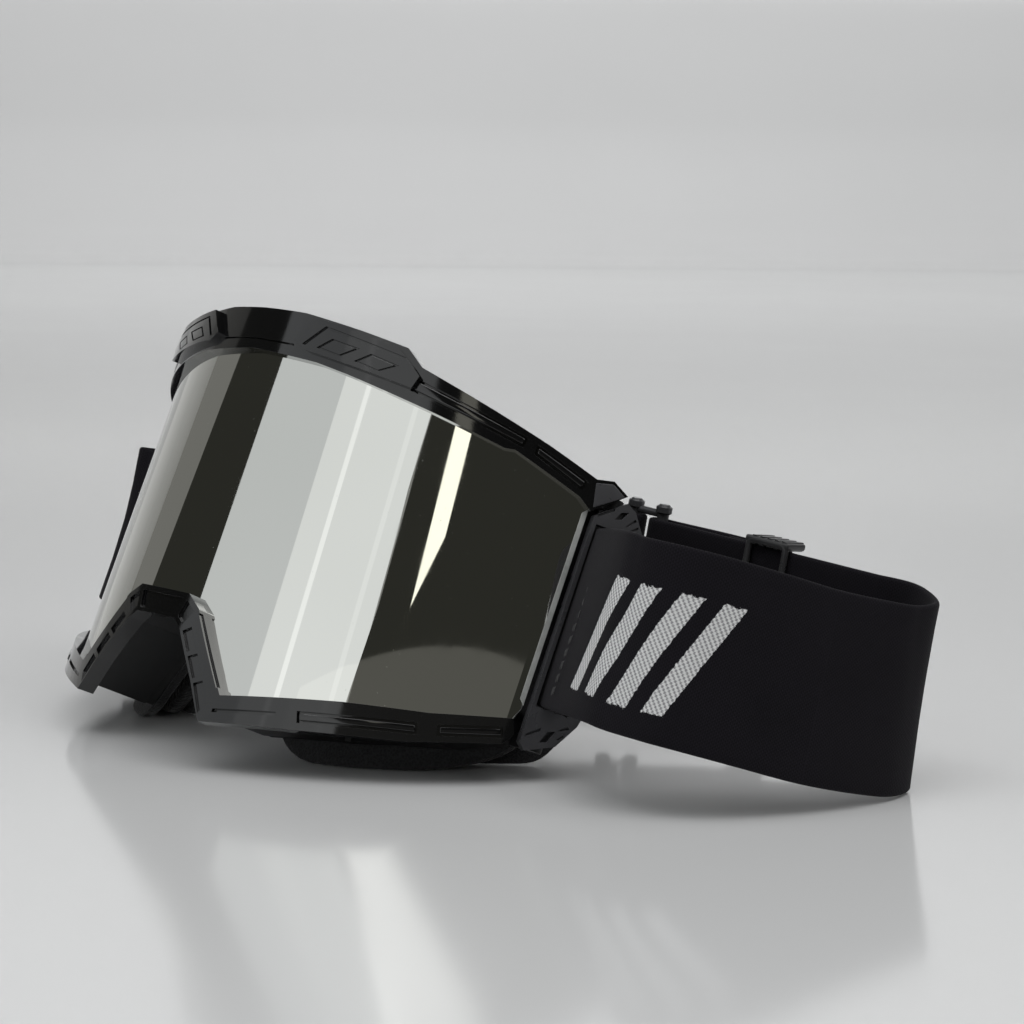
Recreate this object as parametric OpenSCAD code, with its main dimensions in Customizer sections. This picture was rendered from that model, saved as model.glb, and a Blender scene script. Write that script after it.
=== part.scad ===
// Motorcycle goggles resting on a table: wrapped lens, two trim mouldings, face foam, hinged
// outriggers and an elastic head strap with an adjuster. Millimetres, +Z up, table at Z = 0.

/* [Lens and frame] */
// Outside radius of the cylindrical lens
lens_r = 95.3; // [94:0.1:97]
// Thickness of the outer pane
lens_t = 1.5; // [1:0.1:2]
// Height of the foam spacer between the two panes
gasket_t = 2.5; // [2:0.1:3]
// Thickness of the inner pane
inner_t = 0.8; // [0.6:0.1:1]
// How far the trim mouldings stand in front of the lens
trim_proud = 2; // [1.6:0.1:3.5]
// How far the sill and nose arch stand in front of the lens
sill_proud = 3; // [2:0.1:3.5]
// How far the brow covers stand in front of the brow trim
cover_proud = 1.8; // [1:0.1:3]
// Thickness of the frame's outer wall
wall_t = 2.6; // [2:0.1:3]
// Depth from the lens front to the face flange, on the centre line
frame_depth = 18; // [16:0.5:19]

/* [Face side] */
// Radius of the face curve that flange and foam follow
face_r = 96; // [94:0.5:100]
// Thickness of the soft face flange
flange_t = 2.5; // [2:0.1:3]
// Thickness of the firm base foam
base_foam_t = 4; // [3:0.5:5]
// Thickness of the open-cell foam
mid_foam_t = 10; // [8:0.5:12]
// Thickness of the fleece that meets the face
fleece_t = 2; // [1.5:0.1:2.5]

/* [Resting pose] */
// Angle the goggles lean back on the table
lean = 24.05; // [23:0.05:25]
// Height of the nose feet above the table
nose_lift = 12.27; // [12:0.01:13]
// Sideways distance from the goggles' middle to the middle of the whole object
middle_x = 24.23; // [23:0.01:26]
// Front-to-back distance from the nose feet to the middle of the whole object
middle_y = 65.29; // [63:0.01:66]

/* [Outriggers] */
// Radius of the hinge pins
pin_r = 1.2; // [1:0.1:1.4]
// Running clearance of the hinge pins
pin_gap = 0.05; // [0.02:0.01:0.08]
// Outer radius of the hinge knuckles
knuckle_r = 2.6; // [2.4:0.1:2.7]
// Thickness of the outrigger plate
plate_t = 3; // [2.5:0.1:3.5]
// Radius of the bars that the strap folds around
bar_r = 1.5; // [1.3:0.1:1.6]

/* [Strap] */
// Width of the webbing
web_w = 45; // [44:0.5:46]
// Thickness of the webbing
web_t = 1.8; // [1.5:0.1:2]
// Air left between the webbing and whatever slides beside it
web_gap = 0.3; // [0.3:0.05:0.4]

/* [Hidden] */

$fn = 128;
fit = 0.05;        // gap between pieces pressed together
front_y = -12;     // in front of everything on the goggles
back_y = 92;       // behind everything on the goggles
low_z = -12;
high_z = 120;
lens_end = 60.3;   // wrap angle of the lens's side edges

// Half outlines run in [wrap angle, height] from the middle line to one side. A wrap angle is
// measured round the lens axis, away from the middle of the nose.
lens_half = [[0, 95.6], [14, 94.4], [34, 89.5], [50, 85.3], [58, 81], [61, 77.4], [61, 27.2],
             [59, 21.6], [48, 16.4], [36, 12.5], [16.2, 5.4], [11.4, 17], [7.7, 24.9],
             [5.2, 27.3], [0, 27.3]];
brow_top = [[0, 104.5], [9, 104.3], [20, 102.5], [28, 101], [31, 97.2], [43, 92.2],
            [52, 88.3], [59.9, 84.4], [62.4, 85.4], [65, 83.1]];
brow_bottom = [[60.4, 76.6], [58.3, 79], [50, 83.3], [47.5, 84.6], [46, 84.2], [34, 87.5],
               [20, 91.1], [14, 92.4], [0, 93.6]];
sill_top = [[0, 29.3], [6, 29.3], [8.9, 26.2], [12.9, 17.8], [17.8, 7.4], [36, 14.5],
            [48, 18.4], [59.2, 23.6]];
sill_bottom = [[60, 20], [58.8, 17], [45.4, 9.9], [30, 4.4], [15.6, -0.1], [11.9, 8.9],
               [6.6, 20], [4.8, 22.5], [0, 22.5]];
cover_half = [[9.4, 96.6], [13, 103], [26.8, 100.2], [29.6, 97], [27, 93], [12, 95.7]];

// Half outlines in [sideways, height] for pieces that are cut straight from front to back
wall_half = [[0, 102.4], [33, 100.2], [45, 97.6], [50, 94.8], [66, 90], [75, 84], [78.3, 80],
             [78.3, 24], [76, 19], [67, 13], [47, 6.8], [26, 2.4], [20, 9.6], [11, 20.6],
             [7, 23.4], [0, 23.4]];
window_half = [[0, 89.6], [23, 88.4], [52, 83.4], [70, 79.4], [74.8, 74], [75.4, 68], [75.4, 34],
               [74.4, 28.5], [69, 22.8], [55, 18.8], [32, 12.8], [27, 20], [20, 29.5], [14, 34],
               [0, 34]];
foam_outside = [[0, 98], [38, 96.5], [58, 91], [70, 83], [75, 72], [77, 58], [77, 40],
                [76.5, 27], [74, 17], [68, 10], [58, 4], [48, -0.6], [40, -1.2], [32, -0.8],
                [27, 1.5], [24, 5], [16, 17], [10, 22.5], [0, 23.5]];
foam_inside = [[0, 84], [36, 81], [55, 76], [64, 68], [67, 55], [67, 40], [64, 28], [56, 20],
               [44, 15], [35, 16], [29, 22], [22, 31], [13, 37], [0, 38]];

function on_lens(pts, d) = [for (p = pts) [(lens_r + d) * sin(p[0]), p[1]]];
// Whole outline from a half that starts and ends on the middle line
function whole(half) =
    concat(half, [for (i = [len(half) - 2 : -1 : 1]) [-half[i][0], half[i][1]]]);
function flipped(pts) = [for (i = [len(pts) - 1 : -1 : 0]) [-pts[i][0], pts[i][1]]];
// Half outline with its points moved d towards the middle of one eye, or up over the nose
function drawn_in(half, d) = [for (p = half)
    let (v = [min(p[0], 40), 55] - p, l = norm(v)) p[0] == 0
        ? [0, p[1] + sign(55 - p[1]) * d] : [p[0] + v[0] / l * d, p[1] + v[1] / l * d]];

// The goggles' own upright frame, leant back on the table
module leaning() {
    translate([-middle_x, -middle_y, nose_lift]) rotate([-lean, 0, 0]) children();
}

// Leaning pieces with whatever would reach below floor_z pressed flat
module pressed_flat(floor_z) {
    intersection() {
        leaning() children();
        translate([-200, -200, floor_z]) cube([400, 400, 200]);
    }
}

// Everything inside the lens surface moved out by d
module inside_lens(d, extra = 0) {
    translate([0, lens_r, low_z - extra])
        cylinder(r = lens_r + d, h = high_z - low_z + 2 * extra);
}

module lens_shell(d_in, d_out) {
    difference() {
        inside_lens(d_out);
        inside_lens(d_in, 1);
    }
}

// Everything on one side beyond wrap angle a
module past_angle(a) {
    translate([0, lens_r, low_z - 1]) rotate([0, 0, a - 90]) cube([150, 80, high_z - low_z + 2]);
}

// Everything behind the face curve at depth s on the middle line
module behind_face(s, extra = 0) {
    translate([0, face_r + s, low_z - extra])
        cylinder(r = face_r, h = high_z - low_z + 2 * extra);
}

module face_slab(s0, s1) {
    difference() {
        behind_face(s0);
        behind_face(s1, 1);
    }
}

// Straight prism from front to back with the given front outline
module prism(outline, extra = 0) {
    translate([0, back_y + extra, 0]) rotate([90, 0, 0])
        linear_extrude(back_y - front_y + 2 * extra) polygon(outline);
}

module ring_prism(outside, inside) {
    difference() {
        prism(outside);
        prism(inside, 1);
    }
}

// --- Lens ---

module lens_outer() {
    color("silver") leaning() difference() {
        intersection() {
            lens_shell(-lens_t, 0);
            prism(whole(on_lens(lens_half, 0)));
        }
        for (side = [0, 1]) mirror([side, 0, 0]) past_angle(lens_end);
    }
}

module lens_gasket() {
    color([0.1, 0.1, 0.1]) leaning() intersection() {
        lens_shell(-lens_t - gasket_t + fit, -lens_t - fit);
        ring_prism(whole(drawn_in(window_half, 0.4)), whole(drawn_in(window_half, 5)));
    }
}

module lens_inner() {
    color([0.5, 0.5, 0.45]) leaning() intersection() {
        lens_shell(-lens_t - gasket_t - inner_t, -lens_t - gasket_t);
        prism(whole(drawn_in(window_half, 0.4)));
    }
}

// --- Frame ---

// Slots through the top and bottom walls that let air through the vent foam
module vent_slots() {
    for (x = [-52, -28, 0, 28, 52]) translate([x, 0.0045 * x * x + 10, 98]) cube([14, 4, 16], true);
    for (x = [-54, 54]) translate([x, 28, 8]) cube([16, 5, 14], true);
}

// Ears that carry the hinge pins, beside the top and bottom corners
module frame_ears() {
    for (side = [1, -1], z = [ear_low_z, ear_high_z]) {
        hinge_place(side) translate([0, 0, z]) cylinder(r = knuckle_r, h = ear_h);
        translate([min(side * 75.8, side * hinge_x), hinge_y - 2, z])
            cube([hinge_x - 75.8, 4, ear_h]);
    }
}

module frame_body() {
    color([0.05, 0.05, 0.05]) leaning() difference() {
        union() {
            // Ledge behind the lens edge
            intersection() {
                lens_shell(-lens_t - gasket_t, -lens_t - fit);
                ring_prism(whole(wall_half), whole(window_half));
            }
            // Outer wall back to the flange
            intersection() {
                difference() {
                    inside_lens(-lens_t - fit);
                    behind_face(frame_depth - fit, 1);
                }
                ring_prism(whole(wall_half), whole(drawn_in(wall_half, wall_t)));
            }
            difference() {
                frame_ears();
                behind_face(frame_depth - fit, 1);
            }
        }
        vent_slots();
        for (side = [1, -1]) hinge_place(side) translate([0, 0, low_z])
            cylinder(r = pin_r + pin_gap, h = high_z - low_z);
    }
}

module lens_pocket() {
    intersection() {
        inside_lens(fit);
        prism(whole(on_lens([for (p = lens_half) [p[0] * 1.002, 55 + (p[1] - 55) * 1.003]], 0)));
    }
}

// Room in the trim mouldings' ends for the outriggers to swing
module outrigger_reliefs() {
    for (side = [1, -1]) plate_frame(side) translate([0, plate_v + plate_t + 3, 0])
        rotate([90, 0, 0]) linear_extrude(plate_t + 6) offset(delta = 0.8) polygon(plate_edge);
}

module brow_trim() {
    color([0.04, 0.04, 0.04]) leaning() difference() {
        intersection() {
            lens_shell(-lens_t, trim_proud);
            prism(whole(concat(on_lens(brow_top, trim_proud), on_lens(brow_bottom, 1))));
        }
        lens_pocket();
        outrigger_reliefs();
    }
}

module lower_trim() {
    color([0.04, 0.04, 0.04]) leaning() difference() {
        intersection() {
            lens_shell(-lens_t, sill_proud);
            prism(whole(concat(on_lens(sill_top, 1), on_lens(sill_bottom, sill_proud))));
        }
        lens_pocket();
        outrigger_reliefs();
    }
}

cover_at = trim_proud + cover_proud;
module brow_cover(side) {
    color([0.06, 0.06, 0.06]) leaning() intersection() {
        lens_shell(trim_proud + fit, cover_at);
        prism(side > 0 ? on_lens(cover_half, cover_at) : flipped(on_lens(cover_half, cover_at)));
    }
}

module brow_cover_left() { brow_cover(1); }
module brow_cover_right() { brow_cover(-1); }

// Foam strip that lines the inside of the wall over a box of the frame
module vent_foam(corner, size) {
    color([0.09, 0.09, 0.09]) leaning() intersection() {
        difference() {
            inside_lens(-lens_t - gasket_t - 1);
            behind_face(frame_depth - 1, 1);
        }
        ring_prism(whole(drawn_in(wall_half, wall_t + 0.2)), whole(drawn_in(wall_half, wall_t + 3)));
        translate(corner) cube(size);
    }
}

module vent_foam_brow() { vent_foam([-64, 0, 84], [128, 60, 20]); }
module vent_foam_lower_left() { vent_foam([42, 0, 0], [26, 60, 26]); }
module vent_foam_lower_right() { vent_foam([-68, 0, 0], [26, 60, 26]); }

// --- Face side ---

module face_flange() {
    color([0.07, 0.07, 0.07]) pressed_flat(1.5) intersection() {
        face_slab(frame_depth, frame_depth + flange_t - fit);
        ring_prism(whole(drawn_in(wall_half, 0.3)), whole(drawn_in(foam_inside, -1)));
    }
}

module foam_layer(s, t) {
    pressed_flat(0) intersection() {
        face_slab(s + fit, s + t);
        ring_prism(whole(foam_outside), whole(foam_inside));
    }
}

base_s = frame_depth + flange_t;
mid_s = base_s + base_foam_t;
fleece_s = mid_s + mid_foam_t;
module face_foam_base() { color([0.12, 0.12, 0.13]) foam_layer(base_s, base_foam_t); }
module face_foam_mid() { color([0.1, 0.1, 0.11]) foam_layer(mid_s, mid_foam_t); }
module face_foam_fleece() { color([0.14, 0.14, 0.15]) foam_layer(fleece_s, fleece_t); }

// --- Outriggers ---

// Each outrigger has its own frame: U runs back along the plate, V points out of it, and its
// origin lies on the plate's inner side. The hinge axis lies behind the plate.
plate_angle = 65.2;
plate_origin = [83.6, 55];
plate_v = 1.2;
hinge_v = -1.9;
bar_v = plate_v + plate_t / 2;
hinge_x = plate_origin[0] + hinge_v * sin(plate_angle);
hinge_y = plate_origin[1] - hinge_v * cos(plate_angle);
ear_h = 3.2;
ear_low_z = 18.2;
ear_high_z = 79;
knuckle_low = [21.7, 26.4];
knuckle_high = [75.6, 78.8];
plate_edge = [[-5.2, 76], [1.8, 81.6], [4.4, 80.2], [7.6, 75.8], [9, 68], [9.4, 50], [9, 34],
              [7.2, 26.8], [3.5, 20.6], [-3.4, 17.4], [-5.2, 19]];
slot_u = 4.2;
slot_z = [27.6, 74.8];
strap_mid_z = (slot_z[0] + slot_z[1]) / 2;

module hinge_place(side) {
    translate([side * hinge_x, hinge_y, 0]) children();
}

// Children drawn with X along U, Y along V and Z up, on the given side of the goggles
module plate_frame(side) {
    mirror([side > 0 ? 0 : 1, 0, 0]) translate([plate_origin[0], plate_origin[1], 0])
        rotate([0, 0, plate_angle]) mirror([0, 1, 0]) children();
}

module outrigger(side) {
    color([0.16, 0.16, 0.17]) leaning() plate_frame(side) difference() {
        union() {
            difference() {
                translate([0, plate_v + plate_t, 0]) rotate([90, 0, 0])
                    linear_extrude(plate_t) polygon(plate_edge);
                translate([-slot_u, 0, slot_z[0]])
                    cube([2 * slot_u, 10, slot_z[1] - slot_z[0]]);
                // Lightening slot in each corner
                for (z = [[77, 1.6], [20.8, 3]]) translate([0.4, 0, z[0]]) cube([3.4, 10, z[1]]);
            }
            translate([0, bar_v, slot_z[0] - 1]) cylinder(r = bar_r, h = slot_z[1] - slot_z[0] + 2);
            for (k = [knuckle_low, knuckle_high]) {
                translate([0, hinge_v, k[0]]) cylinder(r = knuckle_r, h = k[1] - k[0]);
                translate([-knuckle_r, hinge_v, k[0]])
                    cube([2 * knuckle_r, plate_v - hinge_v + 0.5, k[1] - k[0]]);
            }
        }
        translate([0, hinge_v, 10]) cylinder(r = pin_r + pin_gap, h = 80);
    }
}

module outrigger_left() { outrigger(1); }
module outrigger_right() { outrigger(-1); }

module hinge_pins(side) {
    color("gray") leaning() hinge_place(side) {
        translate([0, 0, ear_low_z]) cylinder(r = pin_r, h = knuckle_low[1] - ear_low_z);
        translate([0, 0, knuckle_high[0]]) cylinder(r = pin_r, h = ear_high_z + ear_h - knuckle_high[0]);
    }
}

module hinge_pins_left() { hinge_pins(1); }
module hinge_pins_right() { hinge_pins(-1); }

// --- Webbing ---

function arc(r, a0, a1, step) = [for (a = [a0 : step : a1]) [r * cos(a), r * sin(a)]];

// Loop of webbing round an upright bar at the origin, its two layers closing towards +X
module web_loop(r, reach) {
    out = r + web_t;
    neck = 0.6 * reach;
    lip = web_t + fit;
    linear_extrude(web_w) polygon(concat(
        [[reach, lip], [neck, lip], [r + 1, out]], arc(out, 90, 270, 15),
        [[r + 1, -out], [neck, -lip], [reach, -lip], [reach, -fit], [neck - 1, -fit], [r, -r]],
        arc(r, 270, 90, -15), [[r, r], [neck - 1, fit], [reach, fit]]));
}

// Two rows of thread across the closed part of a loop, on both faces
module loop_stitches(reach) {
    for (x = [reach * 0.72, reach * 0.9], s = [1, -1])
        translate([x - 0.4, s > 0 ? web_t + 2 * fit : -web_t - 2 * fit - 0.4, 3])
            cube([0.8, 0.4, web_w - 6]);
}

loop_r = bar_r + 0.1;
left_reach = 15;
end_turn = 101;   // angle of the strap's ends from U towards V
right_reach = 11;

module strap_end_place(side, turn) {
    leaning() plate_frame(side) translate([0, bar_v, strap_mid_z - web_w / 2])
        rotate([0, 0, turn]) children();
}

module strap_end_left() {
    color([0.06, 0.06, 0.07]) strap_end_place(1, end_turn) web_loop(loop_r, left_reach);
}

module strap_end_right() {
    color([0.06, 0.06, 0.07]) strap_end_place(-1, end_turn) web_loop(loop_r, right_reach);
}

module stitching_left() {
    color([0.2, 0.2, 0.2]) strap_end_place(1, end_turn) loop_stitches(left_reach);
}

module stitching_right() {
    color([0.2, 0.2, 0.2]) strap_end_place(-1, end_turn) loop_stitches(right_reach);
}

// The strap's far side is straight. Its frame has X running back along the webbing, Y out of it
// and Z up, with the middle of the webbing at the origin, beside the ring.
run_x = 61;
run_y = 114;
run_z = 33.2;
run_turn = 8.8;    // angle of the far side from the X axis, seen from above
run_drop = 6.2;    // angle at which it falls towards the back of the loop
run_roll = -7;     // angle at which its top leans away from the goggles
ring_bar_y = web_t / 2 + 0.1 + bar_r;
ring_gap = 9;      // distance between the ring's two bars
tail_y = 2 * ring_bar_y;
tail_end = 13;
glide_x = 36;
glide_half = 6.5;  // half the length of the adjuster
glide_bar_r = 1.1;
glide_bar_y = web_t / 2 + web_gap + web_t + 0.1 + glide_bar_r;
glide_reach = 15;

module far_side() {
    translate([run_x - middle_x, run_y - middle_y, run_z]) rotate([0, 0, run_turn])
        rotate([0, run_drop, 0]) rotate([run_roll, 0, 0]) children();
}

function about_x(p, a) = [p[0], p[1] * cos(a) - p[2] * sin(a), p[1] * sin(a) + p[2] * cos(a)];
function about_y(p, a) = [p[0] * cos(a) + p[2] * sin(a), p[1], p[2] * cos(a) - p[0] * sin(a)];
function about_z(p, a) = [p[0] * cos(a) - p[1] * sin(a), p[0] * sin(a) + p[1] * cos(a), p[2]];
function far_turned(p) = about_z(about_y(about_x(p, run_roll), run_drop), run_turn);
// Point of the far side's frame, measured from the goggles' middle
function far_point(p) = far_turned(p) + [run_x, run_y, run_z];
far_up = [far_turned([0, 0, 1])[0], far_turned([0, 0, 1])[1]];

// Webbing routes: [x, y, z of the middle line, then the x and y lean of its width]
near_run = [[101, 60.2, 41.3, 0, 0.38], [110, 55.2, 40.8, 0.02, 0.27], [121, 52.6, 40.4, 0, 0.19],
            [131, 54.8, 39.3, -0.08, 0.15], [139, 62, 36.8, -0.12, 0.09],
            [145, 73, 33, -0.11, 0.04], [149.5, 86, 28.6, -0.09, 0.01],
            [152.4, 100, 25, -0.03, 0], [153, 111, 22.8, 0.05, 0.03], [149.6, 120, 22.8, 0.09, 0.1]];
short_run = [[-97.2, 63, 40.2, 0, 0.38], [-101.8, 65.4, 40.4, 0.03, 0.33],
             [-104.2, 72, 39.5, 0.06, 0.2], [-102.5, 81, 38.3, 0.08, 0.14],
             [-97, 89.5, 37.8, 0.05, 0.12], [-88, 95.3, 37.6, 0, 0.12],
             [-70, 98.4, 37.6, 0, 0.12], [-20, 104, 38, 0.04, 0.12]];

function far_station(x, y) = concat(far_point([x, y, 0]), far_up);
// Curve through the stations, with n steps between neighbours
function curve(p, n) = [for (i = [0 : len(p) - 2], k = [0 : n - 1])
    let (a = p[max(i - 1, 0)], b = p[i], c = p[i + 1], d = p[min(i + 2, len(p) - 1)], t = k / n)
    0.5 * (2 * b + (c - a) * t + (2 * a - 5 * b + 4 * c - d) * t * t
           + (3 * b - 3 * c + d - a) * t * t * t)];
function turn_round(x, dir) = [for (a = [-75 : 15 : 75])
    far_station(x - dir * ring_bar_y * cos(a), ring_bar_y * (1 + sin(a)))];

main_route = concat(curve(concat(near_run, [far_station(78, 0), far_station(68, 0)]), 5),
                    [far_station(66, 0), far_station(0, 0)], turn_round(0, 1),
                    [far_station(0, tail_y), far_station(tail_end, tail_y)]);
short_route = concat(curve(concat(short_run, [far_station(-40, 0), far_station(-26, 0)]), 5),
                     [far_station(-24, 0), far_station(-ring_gap, 0)], turn_round(-ring_gap, -1),
                     [far_station(-ring_gap, tail_y), far_station(-15, tail_y),
                      far_station(-21, web_t + 0.1), far_station(-30, web_t + 0.1)]);

function unit(v) = v / norm(v);
function width_of(s) = [s[3], s[4], sqrt(1 - s[3] * s[3] - s[4] * s[4])];

// Webbing swept along a route, measured from the goggles' middle
module web(route) {
    n = len(route);
    mid = [for (s = route) [s[0] - middle_x, s[1] - middle_y, s[2]]];
    corners = [for (i = [0 : n - 1]) let (
            along = unit(mid[min(i + 1, n - 1)] - mid[max(i - 1, 0)]),
            w = width_of(route[i]) * web_w / 2,
            t = unit(cross(along, w)) * web_t / 2)
        each [mid[i] - w - t, mid[i] - w + t, mid[i] + w + t, mid[i] + w - t]];
    polyhedron(corners, concat([[0, 1, 2, 3]],
        [for (i = [0 : n - 2], k = [0 : 3]) each [
            [4 * i + k, 4 * i + 4 + k, 4 * i + 4 + (k + 1) % 4],
            [4 * i + k, 4 * i + 4 + (k + 1) % 4, 4 * i + (k + 1) % 4]]],
        [[4 * n - 1, 4 * n - 2, 4 * n - 3, 4 * n - 4]]));
}

module strap_main() { color([0.06, 0.06, 0.07]) web(main_route); }
module strap_short_right() { color([0.06, 0.06, 0.07]) web(short_route); }

// --- Hardware on the strap ---

rail_in = web_w / 2 + web_gap;
rail_h = 2;
ring_rail_h = 3;
end_bar = [2, 1.6];
end_bar_y = -web_t / 2 - web_gap - end_bar[1];

module strap_ring() {
    color([0.1, 0.1, 0.1]) far_side() {
        for (x = [0, -ring_gap]) translate([x, ring_bar_y, -rail_in - 1])
            cylinder(r = bar_r, h = 2 * rail_in + 2);
        for (z = [rail_in, -rail_in - ring_rail_h])
            translate([-ring_gap - 2, ring_bar_y - 2, z]) cube([ring_gap + 4, 4, ring_rail_h]);
    }
}

module tri_glide() {
    color([0.22, 0.22, 0.23]) far_side() translate([glide_x, 0, 0]) {
        translate([0, glide_bar_y, -rail_in - 1]) cylinder(r = glide_bar_r, h = 2 * rail_in + 2);
        for (x = [-glide_half, glide_half - end_bar[0]])
            translate([x, end_bar_y, -rail_in - 1]) cube([end_bar[0], end_bar[1], 2 * rail_in + 2]);
        for (z = [rail_in, -rail_in - rail_h]) translate([-glide_half, end_bar_y, z])
            cube([2 * glide_half, glide_bar_y + glide_bar_r - end_bar_y, rail_h]);
    }
}

module glide_fold_place() {
    far_side() translate([glide_x, glide_bar_y, -web_w / 2]) rotate([0, 0, 180]) children();
}

module glide_fold() {
    color([0.06, 0.06, 0.07]) glide_fold_place() web_loop(glide_bar_r + 0.1, glide_reach);
}

module stitching_glide() {
    color([0.2, 0.2, 0.2]) glide_fold_place() loop_stitches(glide_reach);
}

// Thread across the short strap where its end is sewn down beside the ring
module stitching_ring() {
    color([0.2, 0.2, 0.2]) far_side() for (x = [-28, -23]) {
        translate([x, 3 * web_t / 2 + 0.15, 3 - web_w / 2]) cube([0.8, 0.4, web_w - 6]);
        translate([x, -web_t / 2 - 0.6, 3 - web_w / 2]) cube([0.8, 0.4, web_w - 6]);
    }
}

lens_outer();
lens_gasket();
lens_inner();
frame_body();
brow_trim();
lower_trim();
brow_cover_left();
brow_cover_right();
vent_foam_brow();
vent_foam_lower_left();
vent_foam_lower_right();
face_flange();
face_foam_base();
face_foam_mid();
face_foam_fleece();
outrigger_left();
outrigger_right();
hinge_pins_left();
hinge_pins_right();
strap_main();
strap_end_left();
strap_end_right();
strap_short_right();
strap_ring();
tri_glide();
glide_fold();
stitching_left();
stitching_right();
stitching_ring();
stitching_glide();
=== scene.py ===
"""Looks of the motorcycle goggles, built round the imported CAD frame.

Lengths are in millimetres and become metres in leant(), wrapped(), row() and far_place(). Only the camera,
the lights and the table are given in metres.
"""

import math

import bmesh
import bpy
from mathutils import Matrix, Vector


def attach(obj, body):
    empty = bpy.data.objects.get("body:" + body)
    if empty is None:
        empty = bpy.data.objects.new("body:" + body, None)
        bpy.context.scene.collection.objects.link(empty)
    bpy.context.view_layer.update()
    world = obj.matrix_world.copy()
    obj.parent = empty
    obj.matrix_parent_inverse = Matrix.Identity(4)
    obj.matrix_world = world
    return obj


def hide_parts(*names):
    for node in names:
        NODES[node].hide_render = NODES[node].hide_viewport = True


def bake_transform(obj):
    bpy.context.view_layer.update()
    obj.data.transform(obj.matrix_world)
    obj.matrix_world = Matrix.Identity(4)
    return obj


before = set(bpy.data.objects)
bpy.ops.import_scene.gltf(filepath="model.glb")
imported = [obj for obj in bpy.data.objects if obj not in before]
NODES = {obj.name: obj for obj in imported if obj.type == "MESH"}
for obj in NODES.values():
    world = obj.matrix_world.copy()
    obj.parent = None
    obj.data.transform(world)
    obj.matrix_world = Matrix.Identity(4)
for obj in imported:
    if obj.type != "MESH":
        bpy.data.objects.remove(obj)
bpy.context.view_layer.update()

MM = 0.001
LENS_R = 95.3
LEAN = math.radians(24.05)
LEAN_C, LEAN_S = math.cos(LEAN), math.sin(LEAN)
NOSE_LIFT = 12.27
MIDDLE = Vector((24.23, 65.29, 0))
SIDES = ((1, "left"), (-1, "right"))


# ---------------------------------------------------------------- places

def leant(x, y, z):
    """A point of the goggles' own upright frame, in the row frame in metres."""
    return (Vector((x, y * LEAN_C + z * LEAN_S, z * LEAN_C - y * LEAN_S + NOSE_LIFT)) - MIDDLE) * MM


def row(x, y, z):
    """A point of the CAD model in millimetres, in the row frame in metres."""
    return (Vector((x, y, z)) - MIDDLE) * MM


def wrapped(p):
    """A point (arc length, depth outwards, height) of the flattened lens surface, wrapped round it."""
    a = p[0] / LENS_R
    r = LENS_R + p[1]
    return leant(r * math.sin(a), LENS_R - r * math.cos(a), p[2])


# An outrigger's plate has U along it, V out of it and Z up.
PLATE_TURN = math.radians(65.2)
PLATE_AT = (83.6, 55.0)
PLATE_V, HINGE_V, PLATE_T = 1.2, -1.9, 3.0
BAR_V = PLATE_V + PLATE_T / 2
STRAP_MID_Z = 51.2


def on_plate(side):
    """Maps (U, V, Z) of an outrigger's plate to the row frame."""
    cu, su = math.cos(PLATE_TURN), math.sin(PLATE_TURN)

    def place(p):
        x = PLATE_AT[0] + p[0] * cu + p[1] * su
        y = PLATE_AT[1] + p[0] * su - p[1] * cu
        return leant(side * x, y, p[2])
    return place


# ---------------------------------------------------------------- meshes

WELD = 1e-6          # vertices this close, in metres, are one
BEVEL_FROM = 38      # edges sharper than this many degrees are rounded


def finish_mesh(bm, name, mat, sharp=32, weighted=True):
    """Turns a bmesh in metres into an object with smooth faces and creases above an angle."""
    bmesh.ops.remove_doubles(bm, verts=bm.verts, dist=WELD)
    bmesh.ops.dissolve_degenerate(bm, edges=bm.edges, dist=WELD)
    bmesh.ops.recalc_face_normals(bm, faces=bm.faces)
    limit = math.radians(sharp)
    for e in bm.edges:
        e.smooth = e.calc_face_angle(0) < limit
    for f in bm.faces:
        f.smooth = True
    me = bpy.data.meshes.new(name)
    bm.to_mesh(me)
    bm.free()
    obj = bpy.data.objects.new(name, me)
    bpy.context.scene.collection.objects.link(obj)
    me.materials.append(mat)
    if weighted:
        w = obj.modifiers.new("weighted", "WEIGHTED_NORMAL")
        w.keep_sharp = True
    return obj


def prism(bm, outline, d0, d1):
    """Adds a straight prism over an outline of (x, z) points, from depth d0 to d1."""
    n = len(outline)
    low = [bm.verts.new((x, d0, z)) for x, z in outline]
    high = [bm.verts.new((x, d1, z)) for x, z in outline]
    bm.faces.new(low)
    bm.faces.new(high[::-1])
    for i in range(n):
        bm.faces.new((low[i], high[i], high[(i + 1) % n], low[(i + 1) % n]))


def tube(bm, rings, closed=False):
    """Joins rings of vertices into a skin; an open tube gets caps."""
    n = len(rings[0])
    for a, b in zip(rings, rings[1:] + (rings[:1] if closed else [])):
        for k in range(n):
            bm.faces.new((a[k], a[(k + 1) % n], b[(k + 1) % n], b[k]))
    if not closed:
        bm.faces.new(rings[0][::-1])
        bm.faces.new(rings[-1])


def circle(r, n):
    """Points of a circle about (0, 0)."""
    return [(r * math.cos(2 * math.pi * i / n), r * math.sin(2 * math.pi * i / n)) for i in range(n)]


def cylinder(bm, place, u, v, z0, z1, r, n=20):
    """Adds a capped upright cylinder with broken edges to a bmesh, placed by a mapping."""
    edge, keep = 0.3, 0.86
    tube(bm, [[bm.verts.new(place((u + x, v + y, z))) for x, y in circle(r * k, n)]
              for z, k in ((z0, keep), (z0 + edge, 1), (z1 - edge, 1), (z1, keep))])


def merge(bm, other):
    """Adds a second bmesh to the first and frees it."""
    me = bpy.data.meshes.new("temp")
    other.to_mesh(me)
    other.free()
    bm.from_mesh(me)
    bpy.data.meshes.remove(me)


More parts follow.
